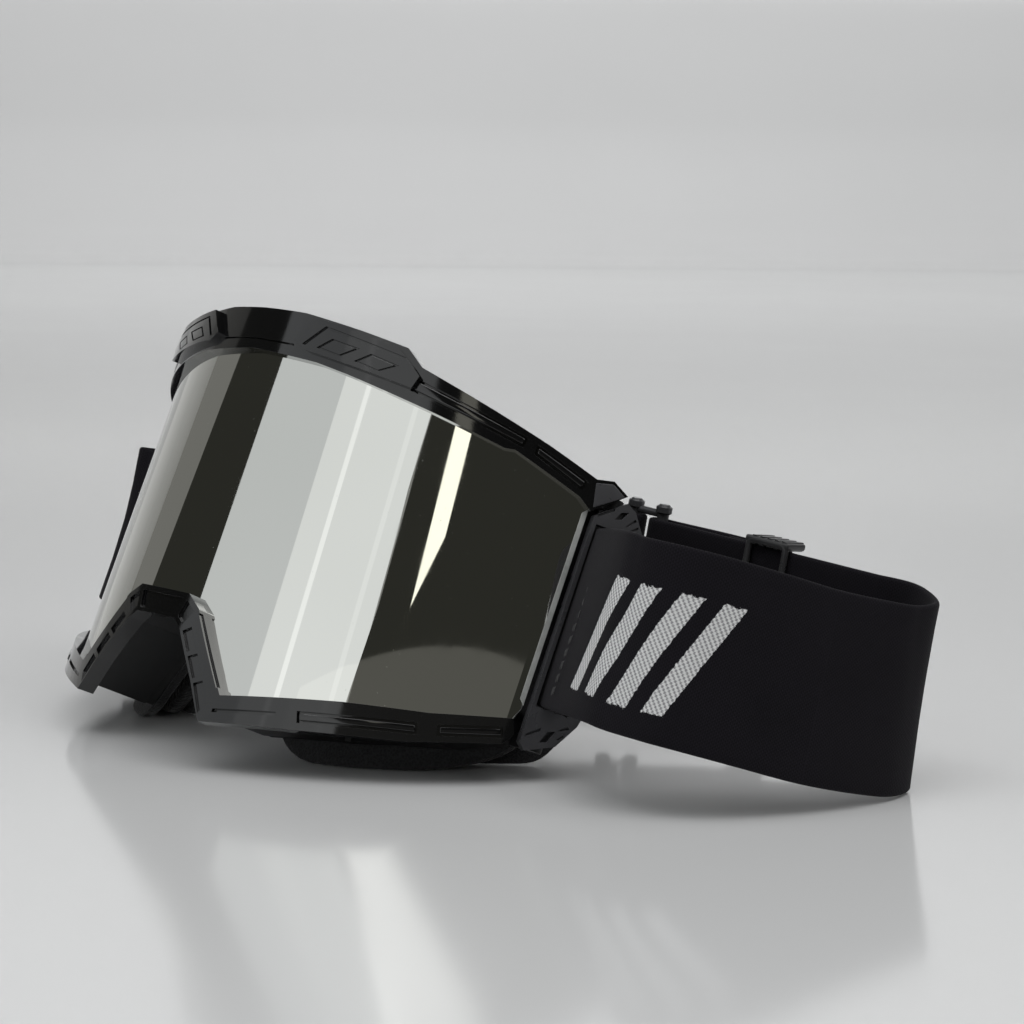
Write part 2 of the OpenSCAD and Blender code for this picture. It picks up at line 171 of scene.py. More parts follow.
def temp_object(bm):
    """A helper object in the flattened frame, to be used by a modifier and removed."""
    bmesh.ops.recalc_face_normals(bm, faces=bm.faces)
    me = bpy.data.meshes.new("temp")
    bm.to_mesh(me)
    bm.free()
    obj = bpy.data.objects.new("temp", me)
    bpy.context.scene.collection.objects.link(obj)
    return obj


def applied(obj):
    """The object's mesh with its modifiers applied, as a bmesh; the object is removed."""
    bpy.context.view_layer.update()
    deps = bpy.context.evaluated_depsgraph_get()
    bm = bmesh.new()
    bm.from_mesh(obj.evaluated_get(deps).to_mesh())
    bpy.data.objects.remove(obj)
    return bm


def moulded(outline, d0, d1, cuts=(), bevel=0.4, segments=2):
    """A moulded piece in flattened coordinates: a prism with cut recesses and rounded edges."""
    bm = bmesh.new()
    prism(bm, outline, d0, d1)
    obj = temp_object(bm)
    tools = []
    for shape, low, high in cuts:
        bm = bmesh.new()
        prism(bm, shape, low, high)
        tools.append(temp_object(bm))
        m = obj.modifiers.new("cut", "BOOLEAN")
        m.operation, m.object, m.solver = "DIFFERENCE", tools[-1], "EXACT"
    b = obj.modifiers.new("bevel", "BEVEL")
    b.width, b.segments, b.limit_method = bevel, segments, "ANGLE"
    b.angle_limit = math.radians(BEVEL_FROM)
    bm = applied(obj)
    for tool in tools:
        bpy.data.objects.remove(tool)
    return bm


STRIP = math.radians(1.5) * LENS_R      # width of the flat strips that make up a bent surface


def sliced(bm):
    """Cuts a flattened mesh into strips so that it can bend."""
    across = [v.co.x for v in bm.verts]
    for k in range(math.ceil(min(across) / STRIP), math.floor(max(across) / STRIP) + 1):
        bmesh.ops.bisect_plane(bm, geom=bm.verts[:] + bm.edges[:] + bm.faces[:], dist=1e-4,
                               plane_co=(k * STRIP, 0, 0), plane_no=(1, 0, 0))
    return bm


def moved(bm, place):
    """Puts every vertex through a mapping."""
    for v in bm.verts:
        v.co = place(v.co)
    return bm


def between(a, b, c, d, t):
    """A point from b to c, for t from 0 to 1, of the Catmull-Rom curve through four points."""
    return 0.5 * (2 * b + (c - a) * t + (2 * a - 5 * b + 4 * c - d) * t * t
                  + (3 * b - 3 * c + d - a) * t ** 3)


def arc_mm(points):
    """Outline of (wrap angle, height) points as (arc length, height)."""
    return [(math.radians(a) * LENS_R, z) for a, z in points]


def whole(half):
    """A closed outline from its half on the +x side, whose first and last points are on the middle line."""
    return half + [(-x, z) for x, z in half[-2:0:-1]]


def both(shapes):
    """Each shape and its mirror image."""
    return [s for shape in shapes for s in (shape, [(-x, z) for x, z in shape[::-1]])]


def at_depth(shapes, low, high):
    """Shapes with the depths they reach between, as moulded() takes them."""
    return [(s, low, high) for s in shapes]


# ---------------------------------------------------------------- materials

class Nodes:
    """Short spellings for building a node tree."""

    def __init__(self, name):
        self.mat = bpy.data.materials.new(name)
        self.mat.use_nodes = True
        self.tree = self.mat.node_tree
        self.out = self.tree.nodes["Principled BSDF"]
        self.texture_coords = self.tree.nodes.new("ShaderNodeTexCoord")

    def node(self, kind, **values):
        n = self.tree.nodes.new(kind)
        for key, value in values.items():
            setattr(n, key, value)
        return n

    def fill(self, socket, value):
        """Sets a socket to a number or a colour, or links it."""
        if isinstance(value, (int, float)):
            socket.default_value = value
        elif isinstance(value, tuple):
            socket.default_value = (*value, 1)
        else:
            self.tree.links.new(value, socket)

    def math(self, op, *values):
        n = self.node("ShaderNodeMath", operation=op)
        for socket, value in zip(n.inputs, values):
            self.fill(socket, value)
        return n.outputs[0]

    def plus(self, a, b):
        return self.math("ADD", a, b)

    def times(self, a, b):
        return self.math("MULTIPLY", a, b)

    def put(self, n, **inputs):
        """Fills a node's sockets by name; an underscore stands for a space."""
        for key, value in inputs.items():
            self.fill(n.inputs[key.replace("_", " ")], value)

    def set(self, **inputs):
        self.put(self.out, **inputs)

    def coords(self, kind="Object"):
        return self.texture_coords.outputs[kind]

    def noise(self, scale, detail=3, rough=0.55, vector=None, distortion=0):
        n = self.node("ShaderNodeTexNoise")
        self.put(n, Vector=vector or self.coords(), Scale=scale, Detail=detail, Roughness=rough,
                 Distortion=distortion)
        return n.outputs["Fac"]

    def cells(self, scale):
        n = self.node("ShaderNodeTexVoronoi")
        self.put(n, Vector=self.coords(), Scale=scale)
        return n.outputs["Distance"]

    def span(self, value, lo, hi, a=0.0, b=1.0):
        """Maps a..b to lo..hi."""
        n = self.node("ShaderNodeMapRange")
        self.put(n, Value=value, From_Min=a, From_Max=b, To_Min=lo, To_Max=hi)
        return n.outputs["Result"]

    def ramp(self, value, stops):
        n = self.node("ShaderNodeValToRGB")
        self.put(n, Fac=value)
        while len(n.color_ramp.elements) < len(stops):
            n.color_ramp.elements.new(0.5)
        for e, (at, colour) in zip(n.color_ramp.elements, stops):
            e.position, e.color = at, (*colour, 1)
        return n.outputs["Color"]

    def mix(self, fac, a, b):
        n = self.node("ShaderNodeMix", data_type="RGBA")
        for k, value in ((0, fac), (6, a), (7, b)):
            self.fill(n.inputs[k], value)
        return n.outputs[2]

    def bump(self, height, depth):
        """Bump of a height from 0 to 1, depth in millimetres."""
        n = self.node("ShaderNodeBump")
        self.put(n, Height=height, Distance=depth * MM, Strength=1.0)
        self.set(Normal=n.outputs["Normal"])


def plastic(name, dark, light, rough, grain_mm=0.01, grain_scale=2600, coat=0.0):
    """Moulded black plastic: faint colour drift, handling smudges in the gloss, fine grain."""
    m = Nodes(name)
    drift = m.noise(35, 4)
    smudge = m.noise(120, 5, 0.65, distortion=0.6)
    m.set(Base_Color=m.ramp(drift, [(0.3, dark), (0.75, light)]),
          Roughness=m.span(smudge, rough[0], rough[1], 0.3, 0.7),
          Specular_IOR_Level=0.5, Coat_Weight=coat, Coat_Roughness=0.06)
    m.bump(m.noise(grain_scale, 2), grain_mm)
    return m.mat


def lens_material():
    """Silver mirror coat with faint haze and a few dust specks."""
    m = Nodes("mirror_lens")
    haze = m.noise(60, 4, 0.6)
    specks = m.math("LESS_THAN", m.cells(420), 0.045)
    rough = m.plus(m.span(haze, 0.012, 0.045, 0.35, 0.75), m.times(specks, 0.2))
    tint = m.ramp(m.noise(9, 2), [(0.3, (0.72, 0.725, 0.69)), (0.7, (0.77, 0.775, 0.74))])
    m.set(Base_Color=tint, Roughness=rough, Metallic=1.0)
    return m.mat


def edge_material():
    """Cut polycarbonate edge, paler than the coated face."""
    m = Nodes("lens_edge")
    m.set(Base_Color=m.ramp(m.noise(300, 3), [(0.3, (0.32, 0.33, 0.32)), (0.7, (0.46, 0.47, 0.46))]),
          Roughness=m.span(m.noise(700, 3), 0.12, 0.3), Specular_IOR_Level=0.8)
    m.bump(m.noise(1800, 2), 0.01)
    return m.mat


def pane_material():
    """Olive inner pane."""
    m = Nodes("clear_pane")
    m.set(Base_Color=m.ramp(m.noise(20, 2), [(0.3, (0.33, 0.35, 0.27)), (0.7, (0.4, 0.41, 0.33))]),
          Roughness=m.span(m.noise(90, 4), 0.05, 0.14), Specular_IOR_Level=0.6)
    return m.mat


def foam_material(name, dark, light, cell_scale, depth):
    """Open-cell foam or brushed fleece: cells per metre, with bump in millimetres."""
    m = Nodes(name)
    cells = m.cells(cell_scale)
    soft = m.noise(cell_scale * 0.35, 5, 0.7)
    height = m.plus(m.times(cells, 0.7), m.times(soft, 0.5))
    m.set(Base_Color=m.ramp(height, [(0.2, dark), (0.8, light)]),
          Roughness=m.span(soft, 0.8, 0.97), Sheen_Weight=0.35, Sheen_Roughness=0.5,
          Specular_IOR_Level=0.25)
    m.bump(height, depth)
    return m.mat


def thread_material(name, dark, light):
    """Twisted sewing thread."""
    m = Nodes(name)
    twist = m.noise(1500, 3, distortion=1.5)
    m.set(Base_Color=m.ramp(twist, [(0.3, dark), (0.7, light)]),
          Roughness=m.span(twist, 0.55, 0.8), Sheen_Weight=0.3)
    m.bump(twist, 0.06)
    return m.mat


def metal_material():
    """Brushed steel of the hinge pins."""
    m = Nodes("pin_steel")
    brushed = m.noise(900, 4)
    m.set(Base_Color=m.ramp(brushed, [(0.3, (0.32, 0.32, 0.33)), (0.7, (0.5, 0.5, 0.52))]),
          Metallic=1.0, Roughness=m.span(brushed, 0.25, 0.45))
    m.bump(brushed, 0.01)
    return m.mat


BARS = 4            # slanted bars in the woven motif
BAR_PITCH = 9.5     # distance between them along the strap
BAR_SLANT = 0.45    # how far they lean, sideways per height
BAR_HALF = 2.6      # half the breadth of a bar
MOTIF_TALL = 14.0   # half the motif's height
MOTIF_AT = (61.0, -2.0)
WEFT, WARP = 0.5, 0.85      # pitch of the weave along and across
STITCH_LONG, STITCH_ROW = 1.25, 0.6     # pitch of the motif's thread


def bars_mask(m, along, across):
    """1 inside the slanted bars of the motif, with ragged edges."""
    u = m.math("SUBTRACT", along, MOTIF_AT[0])
    v = m.math("SUBTRACT", across, MOTIF_AT[1])
    ragged = m.times(m.math("SUBTRACT", m.noise(0.9, 4, 0.7, vector=m.coords("UV")), 0.5), 3.2)
    lean = m.math("SUBTRACT", u, m.times(v, BAR_SLANT))
    shifted = m.plus(lean, (BARS / 2 + 100) * BAR_PITCH)
    from_middle = m.math("ABSOLUTE", m.math("SUBTRACT", m.math("MODULO", shifted, BAR_PITCH), BAR_PITCH / 2))
    in_bar = m.math("LESS_THAN", m.plus(from_middle, m.times(ragged, 0.35)), BAR_HALF)
    in_row = m.math("LESS_THAN", m.math("ABSOLUTE", lean), BARS * BAR_PITCH / 2)
    tall = m.math("LESS_THAN", m.plus(m.math("ABSOLUTE", v), ragged), MOTIF_TALL)
    return m.times(m.times(in_bar, in_row), tall)


def webbing_material(name, motif=False):
    """Fine woven elastic from the strap's own (along, across) coordinates, which are in millimetres."""
    m = Nodes(name)
    uv = m.node("ShaderNodeSeparateXYZ")
    m.put(uv, Vector=m.coords("UV"))
    along, across = uv.outputs[0], uv.outputs[1]
    turn = 2 * math.pi
    fuzz = m.noise(2.2, 4, 0.6, vector=m.coords("UV"))
    weft = m.math("SINE", m.times(along, turn / WEFT))
    phase = m.times(m.math("FLOOR", m.math("DIVIDE", along, WEFT)), math.pi)
    warp = m.math("SINE", m.plus(m.times(across, turn / WARP), phase))
    knit = m.plus(m.times(weft, 0.22), m.times(warp, 0.28))
    height = m.plus(m.plus(knit, 0.35), m.times(fuzz, 0.35))
    drift = m.noise(0.05, 3, vector=m.coords("UV"))
    colour = m.ramp(m.plus(m.times(height, 0.7), m.times(drift, 0.3)),
                    [(0.25, (0.002, 0.0018, 0.003)), (0.85, (0.012, 0.010, 0.015))])
    if motif:
        mask = bars_mask(m, along, across)
        rows = m.times(m.math("FLOOR", m.math("DIVIDE", across, STITCH_ROW)), 2.1)
        dash = m.math("SINE", m.plus(m.times(along, turn / STITCH_LONG), rows))
        thread = m.ramp(m.plus(m.times(dash, 0.3), m.times(fuzz, 0.8)),
                        [(0.12, (0.3, 0.3, 0.31)), (0.45, (0.74, 0.74, 0.75)), (0.9, (0.9, 0.9, 0.9))])
        colour = m.mix(mask, colour, thread)
        height = m.plus(height, m.times(mask, 0.5))
    m.set(Base_Color=colour, Roughness=m.span(fuzz, 0.78, 0.94), Sheen_Weight=0.05,
          Sheen_Roughness=0.5, Specular_IOR_Level=0.15)
    m.bump(height, 0.07)
    return m.mat


GLOSS = plastic("gloss_frame", (0.003, 0.003, 0.0035), (0.006, 0.006, 0.0065), (0.04, 0.11), 0.002, coat=0.5)
SATIN = plastic("satin_plastic", (0.045, 0.045, 0.049), (0.068, 0.068, 0.073), (0.24, 0.38), 0.015)
FRAME = plastic("frame_plastic", (0.004, 0.004, 0.0045), (0.009, 0.009, 0.0095), (0.3, 0.45), 0.015)
FLANGE = plastic("soft_flange", (0.006, 0.006, 0.006), (0.012, 0.012, 0.012), (0.5, 0.66), 0.03)
GREY = plastic("glide_plastic", (0.03, 0.03, 0.032), (0.07, 0.07, 0.073), (0.25, 0.4), 0.02)
LENS = lens_material()
EDGE = edge_material()
PANE = pane_material()
FOAM = foam_material("foam", (0.006, 0.006, 0.0065), (0.028, 0.028, 0.029), 1100, 0.35)
BASE_FOAM = foam_material("base_foam", (0.01, 0.01, 0.0105), (0.034, 0.034, 0.036), 1700, 0.2)
FLEECE = foam_material("fleece", (0.008, 0.008, 0.009), (0.04, 0.04, 0.043), 2300, 0.25)
VENT = foam_material("vent_foam", (0.008, 0.008, 0.009), (0.03, 0.03, 0.032), 800, 0.5)
THREAD = thread_material("thread", (0.02, 0.02, 0.021), (0.07, 0.07, 0.072))
STEEL = metal_material()
WEB = webbing_material("webbing")


def recoat(node, mat):
    """Gives a CAD node its finished material."""
    slots = NODES[node].material_slots
    if not slots:
        NODES[node].data.materials.append(mat)
    for s in slots:
        s.material = mat


for mat, names in ((FRAME, ["frame_body"]), (PANE, ["lens_inner"]), (FLANGE, ["face_flange"]),
                   (STEEL, ["hinge_pins_left", "hinge_pins_right"]),
                   (VENT, ["lens_gasket", "vent_foam_brow", "vent_foam_lower_left",
                           "vent_foam_lower_right"])):
    for node_name in names:
        recoat(node_name, mat)


def stands_for(obj, body, slot, *nodes):
    """Attaches a piece to its body, unless that is None, and hides the CAD nodes that it replaces. The slot
    is not used.
    """
    if body:
        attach(obj, body)
    if nodes:
        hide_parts(*nodes)
    return obj


# ---------------------------------------------------------------- lens

LENS_END = 60.3
LENS_HALF = [(0, 95.6), (14, 94.4), (34, 89.5), (50, 85.3), (58, 81), (60.3, 78.2), (60.3, 26.5),
             (59, 21.6), (48, 16.4), (36, 12.5), (16.2, 5.4), (11.4, 17), (7.7, 24.9),
             (5.2, 27.3), (0, 27.3)]
LENS_SIDE = [(59.55, 75.8), (60.35, 77.2), (60.35, 27.4), (59.55, 28.8)]
FACES_OUT = 0.9      # cosine under which a lens face is taken as part of its rim


def on_side(side, shape):
    """A left side's outline of (wrap angle, height) points as (arc length, height), on either side."""
    return arc_mm([(side * a, z) for a, z in shape])


def on_lens(bm, name, mat, slot, *nodes):
    stands_for(finish_mesh(moved(sliced(bm), wrapped), name, mat), "goggles", slot, *nodes)


def lens():
    """The mirror, with a pale edge at its two ends and a dark rim elsewhere."""
    bm = moulded(arc_mm(whole(LENS_HALF)), -1.5, 0, bevel=0.3)
    bm = moved(sliced(bm), wrapped)
    obj = finish_mesh(bm, "mirror_lens", LENS, sharp=20)
    obj.data.materials.append(EDGE)
    obj.data.materials.append(GLOSS)
    for p in obj.data.polygons:
        c = p.center / MM + MIDDLE
        y = c.y * LEAN_C - (c.z - NOSE_LIFT) * LEAN_S
        out = Vector((c.x, y - LENS_R, 0)).normalized()
        lean_out = Vector((out.x, out.y * LEAN_C, -out.y * LEAN_S))
        if p.normal.dot(lean_out) < FACES_OUT:
            at_side = -out.y < math.cos(math.radians(LENS_END - 0.6))
            p.material_index = 1 if at_side else 2
    stands_for(obj, "goggles", "mirror_lens", "lens_outer")


def lens_side_bevels():
    """The pale cut edges at the lens's two ends."""
    for side, name in SIDES:
        bm = moulded(on_side(side, LENS_SIDE), -0.6, 0.15, bevel=0.12)
        on_lens(bm, "lens_side_bevel_" + name, EDGE, "mirror_lens")


# ---------------------------------------------------------------- trims

# Outlines of (wrap angle in degrees, height) points. PROUD is how far a trim stands out of the lens.
TRIM_BACK = -1.4
CLEAR = 2            # how far a cut reaches out of the face it starts from
BROW_TOP = [(0, 104.5), (9, 104.3), (20, 102.5), (28, 101), (31, 97.2), (43, 92.2), (52, 88.3),
            (59.9, 84.4), (62.4, 85.4), (65, 83.1)]
BROW_LOW = [(60.4, 76.6), (58.3, 79), (50, 83.3), (47.5, 84.6), (46, 84.2), (34, 87.5),
            (20, 91.1), (14, 92.4), (0, 93.6)]
BROW_GROOVES = [[(0.3, 96.0), (0.3, 96.45), (8.6, 96.0), (8.8, 95.55)],
                [(30.4, 91.0), (30.4, 94.4), (48.9, 88.3), (48.5, 85.7)],
                [(50.3, 85.0), (50.3, 87.6), (58.9, 83.1), (58.2, 80.5)]]
CORNER_PANEL = [(59.9, 83.5), (62.4, 84.6), (64.6, 82.6), (60.6, 77.6)]
PROUD = 2.0
SILL_PROUD = 3.0
SILL_TOP = [(0, 29.3), (6, 29.3), (8.9, 26.2), (12.9, 17.8), (17.8, 7.4), (36, 14.5), (48, 18.4),
            (59.2, 23.6)]
SILL_LOW = [(60, 20), (58.8, 17), (45.4, 9.9), (30, 4.4), (15.6, -0.1), (11.9, 8.9), (6.6, 20),
            (4.8, 22.5), (0, 22.5)]
SILL_GROOVES = [[(17.4, 3.0), (17.4, 3.9), (27.2, 7.5), (27.4, 6.6)],
                [(30.7, 6.5), (30.2, 9.2), (46.9, 15.3), (47.4, 12.6)],
                [(49.9, 13.8), (49.5, 16.4), (58.2, 21.0), (58.8, 18.4)]]
NOSE_CELLS = [[(7.2, 20.0), (8.7, 21.5), (11.0, 16.6), (9.4, 15.3)],
              [(9.9, 14.3), (11.5, 15.6), (13.6, 10.7), (12.1, 9.4)],
              [(12.6, 8.4), (14.1, 9.6), (16.0, 4.6), (15.1, 1.8)],
              [(5.2, 23.4), (6.0, 27.6), (8.2, 25.2), (6.7, 21.6)]]
NOSE_TOP_CELLS = [[(-4.3, 23.4), (-5.2, 27.9), (5.2, 27.9), (4.3, 23.4)]]
NOSE_LIPS = [[(9.2, 25.0), (9.7, 25.6), (17.3, 9.6), (16.8, 8.8)]]


def inset(shape, d):
    """A convex outline moved inwards by a distance."""
    n = len(shape)
    edges = list(zip(shape, shape[1:] + shape[:1]))
    turn = math.copysign(1, sum(a[0] * b[1] - b[0] * a[1] for a, b in edges))
    lines = []
    for (ax, az), (bx, bz) in edges:
        long = math.hypot(bx - ax, bz - az)
        nx, nz = -turn * (bz - az) / long, turn * (bx - ax) / long
        lines.append((nx, nz, nx * ax + nz * az + d))
    out = []
    for i in range(n):
        a, b, c = lines[i - 1]
        p, q, r = lines[i]
        det = a * q - b * p
        out.append(((c * q - b * r) / det, (a * r - c * p) / det))
    return out


def bars(name, grooves, depth, top):
    """Raised bars that stand in the long grooves of a trim."""
    for k, groove in enumerate(both(grooves)):
        bm = moulded(inset(arc_mm(groove), 0.62), depth, top, bevel=0.28)
        on_lens(bm, f"{name}_{k}", GLOSS, "gloss_frame")


def brow():
    """The trim over the lens's top edge."""
    outline = arc_mm(whole(BROW_TOP + BROW_LOW))
    cuts = at_depth([arc_mm(s) for s in both(BROW_GROOVES)], PROUD - 1.0, PROUD + CLEAR)
    bm = moulded(outline, TRIM_BACK, PROUD, cuts=cuts, bevel=0.7, segments=3)
    on_lens(bm, "brow_trim_moulding", GLOSS, "gloss_frame", "brow_trim")
    bars("brow_bar", BROW_GROOVES[1:], PROUD - 1.1, PROUD + 0.3)


def corner_panels():
    """Satin plates on the brow's two outer corners."""
    for side, name in SIDES:
        bm = moulded(on_side(side, CORNER_PANEL), PROUD - 0.3, PROUD + 0.35, bevel=0.25)
        on_lens(bm, "corner_panel_" + name, SATIN, "satin_plastic")


def sill():
    """The lower trim with the nose arch."""
    outline = arc_mm(whole(SILL_TOP + SILL_LOW))
    cuts = []
    for shapes, deep in ((both(SILL_GROOVES), 1.1), (both(NOSE_CELLS) + NOSE_TOP_CELLS, 0.7),
                         (both(NOSE_LIPS), 1.3)):
        cuts += at_depth([arc_mm(s) for s in shapes], SILL_PROUD - deep, SILL_PROUD + CLEAR)
    bm = moulded(outline, TRIM_BACK, SILL_PROUD, cuts=cuts, bevel=0.5, segments=3)
    on_lens(bm, "lower_trim_moulding", GLOSS, "gloss_frame", "lower_trim")
    bars("sill_bar", SILL_GROOVES[1:], SILL_PROUD - 1.2, SILL_PROUD + 0.3)


COVER = [(9.4, 96.6), (13, 103), (26.8, 100.2), (29.6, 97), (31.4, 94.6), (30.8, 91.3), (12, 94.6)]
COVER_CELLS = [[(14.0, 95.7), (16.2, 98.6), (21.2, 97.6), (18.4, 94.7)],
               [(20.9, 94.3), (23.2, 97.0), (28.0, 95.8), (25.2, 93.2)]]
COVER_LINE = [[(11.2, 96.0), (14.4, 101.4), (28.6, 98.2), (28.4, 97.7), (14.7, 100.8), (11.8, 95.8)]]
COVER_TOP = 3.8


def shrunk(shape, keep):
    """An outline scaled about its middle."""
    cx = sum(p[0] for p in shape) / len(shape)
    cz = sum(p[1] for p in shape) / len(shape)
    return [(cx + (x - cx) * keep, cz + (z - cz) * keep) for x, z in shape]


def covers():
    """The two raised brow panels, each with two sunk parallelograms."""
    for side, name in SIDES:
        cuts = at_depth([on_side(side, s) for s in COVER_CELLS + COVER_LINE], COVER_TOP - 0.55,
                        COVER_TOP + CLEAR)
        bm = moulded(on_side(side, COVER), PROUD - 0.2, COVER_TOP, cuts=cuts, bevel=0.45, segments=3)
        on_lens(bm, "brow_cover_moulding_" + name, GLOSS, "gloss_frame", "brow_cover_" + name)
        for k, cell in enumerate(COVER_CELLS):
            bm = moulded(on_side(side, shrunk(cell, 0.82)), COVER_TOP - 0.8, COVER_TOP - 0.02, bevel=0.15)
            on_lens(bm, f"cover_pad_{name}_{k}", GLOSS, "gloss_frame")


# ---------------------------------------------------------------- outriggers

# Outlines of (U, Z) points.
PLATE_EDGE = [(-5.2, 76), (1.8, 81.6), (4.4, 80.2), (7.6, 75.8), (9, 68), (9.4, 50), (9, 34),
              (7.2, 26.8), (3.5, 20.6), (-3.4, 17.4), (-5.2, 19)]
PLATE_WINDOW = [(-4.2, 28.2), (-4.2, 74.2), (4.2, 74.2), (4.2, 28.2)]
CORNER_SLOTS = [[(-0.2, 76.8), (1.0, 79.0), (2.8, 79.6), (1.6, 77.4)],
                [(-0.6, 20.4), (0.6, 23.4), (2.4, 24.0), (1.2, 21.0)]]
RIBS = [[(-4.4, 75.9), (-4.4, 76.6), (-0.8, 79.4), (-0.8, 78.7)],
        [(3.0, 76.2), (3.5, 76.2), (5.4, 78.2), (4.9, 78.6)],
        [(4.2, 75.4), (4.7, 75.2), (6.4, 76.6), (6.1, 77.1)],
        [(-4.4, 20.6), (-4.4, 21.4), (-1.2, 23.8), (-1.2, 23.0)],
        [(3.0, 24.6), (3.6, 24.6), (5.6, 25.6), (5.2, 26.2)],
        [(3.2, 22.4), (3.7, 22.4), (5.0, 23.6), (4.6, 24.0)]]


def outriggers():
    """The slotted side pieces, each with its strap bar and two hinge knuckles."""
    top = PLATE_V + PLATE_T
    cuts = at_depth([PLATE_WINDOW], -2, 9)
    cuts += at_depth(CORNER_SLOTS, top - 1.6, 9) + at_depth(RIBS, top - 0.6, 9)
    for side, name in SIDES:
        place = on_plate(side)
        bm = moved(moulded(PLATE_EDGE, PLATE_V, top, cuts=cuts, bevel=0.35, segments=3), place)
        cylinder(bm, place, 0, BAR_V, 27.0, 75.4, 1.5)
        for z0, z1 in ((21.7, 26.4), (75.6, 78.8)):
            cylinder(bm, place, 0, HINGE_V, z0, z1, 2.6, 28)
            web = moulded([(-2.2, z0), (-2.2, z1), (2.2, z1), (2.2, z0)], HINGE_V, PLATE_V + 0.3,
                          bevel=0.3)
            merge(bm, moved(web, place))
        obj = finish_mesh(bm, "outrigger_arm_" + name, SATIN)
        stands_for(obj, "outrigger_" + name, "satin_plastic", "outrigger_" + name)


# ---------------------------------------------------------------- webbing

WEB_W, WEB_T = 45.0, 1.8
RUN = (61.0, 114.0, 33.2)
RUN_TURN, RUN_DROP, RUN_ROLL = (math.radians(a) for a in (8.8, 6.2, -7))
FAR = (Matrix.Rotation(RUN_TURN, 3, "Z") @ Matrix.Rotation(RUN_DROP, 3, "Y")
       @ Matrix.Rotation(RUN_ROLL, 3, "X"))
BAR_R = 1.5
RING_Y = WEB_T / 2 + 0.1 + BAR_R
RING_GAP = 9.0
GLIDE_X, GLIDE_HALF, GLIDE_BAR_R = 36.0, 6.5, 1.1
GLIDE_Y = WEB_T / 2 + 0.3 + WEB_T + 0.1 + GLIDE_BAR_R
# Stations of the webbing: middle of its width, then the x and y of its width direction.
NEAR_RUN = [(101, 60.2, 41.3, 0, 0.38), (110, 55.2, 40.8, 0.02, 0.27), (121, 52.6, 40.4, 0, 0.19),
            (131, 54.8, 39.3, -0.08, 0.15), (139, 62, 36.8, -0.12, 0.09),
            (145, 73, 33, -0.11, 0.04), (149.5, 86, 28.6, -0.09, 0.01),
            (152.4, 100, 25, -0.03, 0), (153, 111, 22.8, 0.05, 0.03), (149.6, 120, 22.8, 0.09, 0.1)]
SHORT_RUN = [(-97.2, 63, 40.2, 0, 0.38), (-101.8, 65.4, 40.4, 0.03, 0.33),
             (-104.2, 72, 39.5, 0.06, 0.2), (-102.5, 81, 38.3, 0.08, 0.14),
             (-97, 89.5, 37.8, 0.05, 0.12), (-88, 95.3, 37.6, 0, 0.12),
             (-70, 98.4, 37.6, 0, 0.12), (-20, 104, 38, 0.04, 0.12)]


def far_point(x, y, z=0):
    """A point of the strap's straight far side: along it from the ring, out of it and across it."""
    return FAR @ Vector((x, y, z)) + Vector(RUN)


def far_place(p):
    """The same point in the row frame, in metres."""
    return row(*far_point(*p))


FAR_UP = FAR @ Vector((0, 0, 1))


def station(s):
    """(middle, width direction) of the webbing from the five numbers of a table."""
    return Vector(s[:3]), Vector((s[3], s[4], math.sqrt(1 - s[3] ** 2 - s[4] ** 2)))


def far_station(x, y):
    """A station on the far side."""
    return far_point(x, y), FAR_UP.copy()


def curve(stations, n):
    """A smooth run through (middle, width direction) pairs, n steps between neighbours."""
    out = []
    last = len(stations) - 1
    for i in range(last):
        near = [stations[k] for k in (max(i - 1, 0), i, i + 1, min(i + 2, last))]
        for k in range(n):
            out.append(tuple(between(*(s[j] for s in near), k / n) for j in (0, 1)))
    out.append(stations[-1])
    return out


FLAT_STEPS, EDGE_STEPS = 22, 7
INNER_SHIFT = 200   # keeps the woven motif off the strap's inner face


def band_section():
    """(across, out) points round the webbing's section, with rounded edges."""
    half, t = WEB_W / 2, WEB_T / 2
    top = [(-half + t + (WEB_W - 2 * t) * i / FLAT_STEPS, t) for i in range(FLAT_STEPS + 1)]
    right = [(half - t + t * math.sin(math.pi * k / EDGE_STEPS),
              t * math.cos(math.pi * k / EDGE_STEPS)) for k in range(1, EDGE_STEPS)]
    return top + right + [(v, -o) for v, o in top[::-1]] + [(-v, -o) for v, o in right]


def band(path, name, mat, before=None, after=None):
    """A strip of webbing along stations, with (along, across) coordinates in millimetres.

    before and after are the neighbouring stations of a band that goes on as another piece.
    """
    section = band_section()
    guide = [before or path[0]] + path + [after or path[-1]]
    n = len(section)
    bm = bmesh.new()
    uv = bm.loops.layers.uv.new("UVMap")
    rings, places = [], []
    along = 0.0
    for i, (mid, up) in enumerate(path):
        if i:
            along += (mid - path[i - 1][0]).length
        t = (guide[i + 2][0] - guide[i][0]).normalized()
        w = (up - t * up.dot(t)).normalized()
        out = t.cross(w)
        rings.append([bm.verts.new((mid + w * a + out * o - MIDDLE) * MM) for a, o in section])
        places.append(along)
    for i in range(len(rings) - 1):
        for k in range(n):
            j = (k + 1) % n
            f = bm.faces.new((rings[i][k], rings[i][j], rings[i + 1][j], rings[i + 1][k]))
            shift = INNER_SHIFT if section[k][1] + section[j][1] < 0 else 0
            for loop, (r, q) in zip(f.loops, ((i, k), (i, j), (i + 1, j), (i + 1, k))):
                loop[uv].uv = (places[r], section[q][0] + shift)
    for ring, r in ((rings[0][::-1], 0), (rings[-1], -1)):
        f = bm.faces.new(ring)
        for loop in f.loops:
            loop[uv].uv = (places[r], 0)
    return finish_mesh(bm, name, mat, sharp=50, weighted=False)


